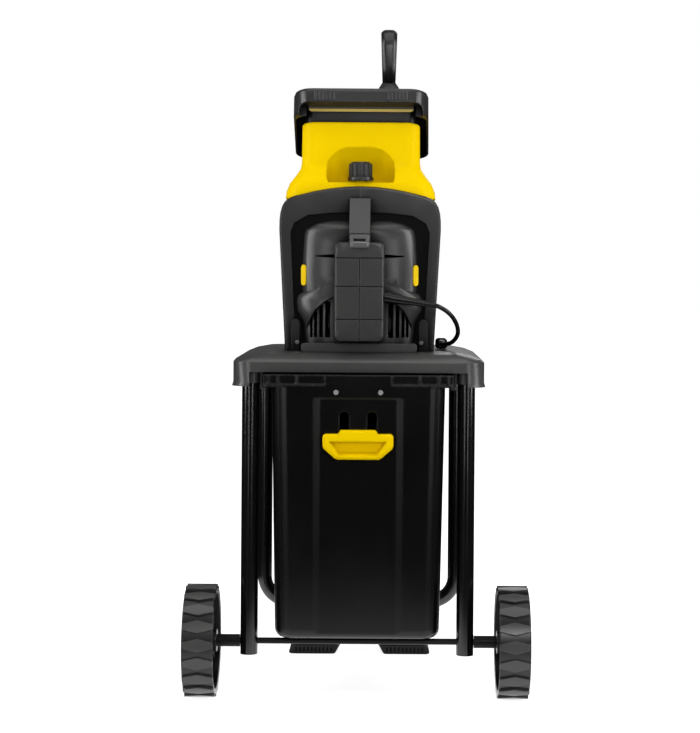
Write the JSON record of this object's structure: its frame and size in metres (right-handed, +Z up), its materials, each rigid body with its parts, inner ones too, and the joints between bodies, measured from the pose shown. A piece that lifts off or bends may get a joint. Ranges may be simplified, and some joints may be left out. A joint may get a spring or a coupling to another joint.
{
  "type": "garden shredder",
  "caption": "Electric garden shredder on a wheeled tube stand, with an inclined hopper, push stick, knife disc and a pull-out collection box under the deck.",
  "frame": {"origin": "on the ground, in the middle between wheels and feet and between the two wheels", "axes": "+Z up, -Y towards the wheels and the motor, +Y towards the operator, +X to the right when the wheels face the viewer"},
  "size_m": [0.551, 0.4954, 1.099],
  "materials": {
    "black_plastic": "fine moulded grain",
    "box_plastic": "smooth semi-gloss moulding",
    "grey_plastic": "fine moulded grain",
    "wheel_plastic": "satin moulding",
    "yellow_plastic": "satin gloss moulding",
    "badge_plastic": "plain inlay",
    "black_tube": "gloss powder coat",
    "bright_steel": "zinc plated",
    "blade_steel": "ground",
    "cast_aluminium": "as cast",
    "motor_iron": "laminated core with windings",
    "green_plastic": "smooth",
    "red_plastic": "smooth",
    "reset_plastic": "smooth",
    "cord_rubber": "smooth sheath"
  },
  "bodies": {
    "chassis": {"deck": "grey_plastic", "left_leg": "black_tube", "right_leg": "black_tube", "front_leg": "black_tube", "left_foot": "black_plastic", "right_foot": "black_plastic", "axle": "black_tube", "axle_spacers": "black_tube", "axle_caps": "black_plastic", "left_body_half": "black_plastic", "right_body_half": "black_plastic", "motor_cover": "grey_plastic", "rear_cover": "grey_plastic", "base_strip": "grey_plastic", "cover_clip": "bright_steel", "side_badges": "badge_plastic", "body_screws": "bright_steel", "knife_housing": "grey_plastic", "motor_housing": "cast_aluminium", "stator": "motor_iron", "bearings": "bright_steel", "hinge_pin": "bright_steel", "switch_box": "black_plastic", "cord_relief": "cord_rubber", "cord": "cord_rubber", "plug": "cord_rubber"},
    "left_wheel": {"left_wheel": "wheel_plastic"},
    "right_wheel": {"right_wheel": "wheel_plastic"},
    "rotor": {"motor_shaft": "bright_steel", "rotor_core": "motor_iron", "cooling_fan": "black_plastic", "knife_disc": "blade_steel", "knives": "blade_steel", "knife_screws": "bright_steel", "disc_nut": "bright_steel"},
    "hopper": {"hopper_shell": "yellow_plastic", "hopper_funnel": "black_plastic", "hopper_rim": "black_plastic", "mouth_strip": "yellow_plastic"},
    "knob": {"knob": "black_plastic", "knob_stud": "bright_steel"},
    "pusher": {"pusher": "black_plastic"},
    "box": {"collection_box": "box_plastic", "box_screws": "bright_steel"},
    "latch": {"box_latch": "yellow_plastic"},
    "start_button": {"start_button": "green_plastic"},
    "stop_button": {"stop_button": "red_plastic"},
    "reset_button": {"reset_button": "reset_plastic"}
  },
  "joints": [
    {"name": "left_wheel_spin", "type": "hinge", "parent": "chassis", "child": "left_wheel", "pos_m": [-0.2505, -0.15775, 0.09], "axis": [1, 0, 0], "continuous": true},
    {"name": "right_wheel_spin", "type": "hinge", "parent": "chassis", "child": "right_wheel", "pos_m": [0.2505, -0.15775, 0.09], "axis": [1, 0, 0], "continuous": true},
    {"name": "rotor_spin", "type": "hinge", "parent": "chassis", "child": "rotor", "pos_m": [0, 0.01825, 0.712], "axis": [0, 0.6428, 0.766], "continuous": true},
    {"name": "hopper_hinge", "type": "hinge", "parent": "chassis", "child": "hopper", "pos_m": [0, 0.13725, 0.809], "axis": [-1, 0, 0], "range_deg": [0, 85]},
    {"name": "knob_turn", "type": "hinge", "parent": "hopper", "child": "knob", "pos_m": [0, -0.07975, 0.84], "axis": [0, 0, 1], "continuous": true},
    {"name": "pusher_lift", "type": "slide", "parent": "hopper", "child": "pusher", "axis": [0, 0, 1], "range_m": [0, 0.33]},
    {"name": "box_slide", "type": "slide", "parent": "chassis", "child": "box", "axis": [0, -1, 0], "range_m": [0, 0.33]},
    {"name": "latch_slide", "type": "slide", "parent": "box", "child": "latch", "axis": [0, 0, 1], "range_m": [0, 0.025]},
    {"name": "start_press", "type": "slide", "parent": "chassis", "child": "start_button", "axis": [0, -1, 0], "range_m": [0, 0.004], "stiffness_N_per_m": 400},
    {"name": "stop_press", "type": "slide", "parent": "chassis", "child": "stop_button", "axis": [0, -1, 0], "range_m": [0, 0.004], "stiffness_N_per_m": 400},
    {"name": "reset_press", "type": "slide", "parent": "chassis", "child": "reset_button", "axis": [0, -1, 0], "range_m": [0, 0.004], "stiffness_N_per_m": 400}
  ]
}
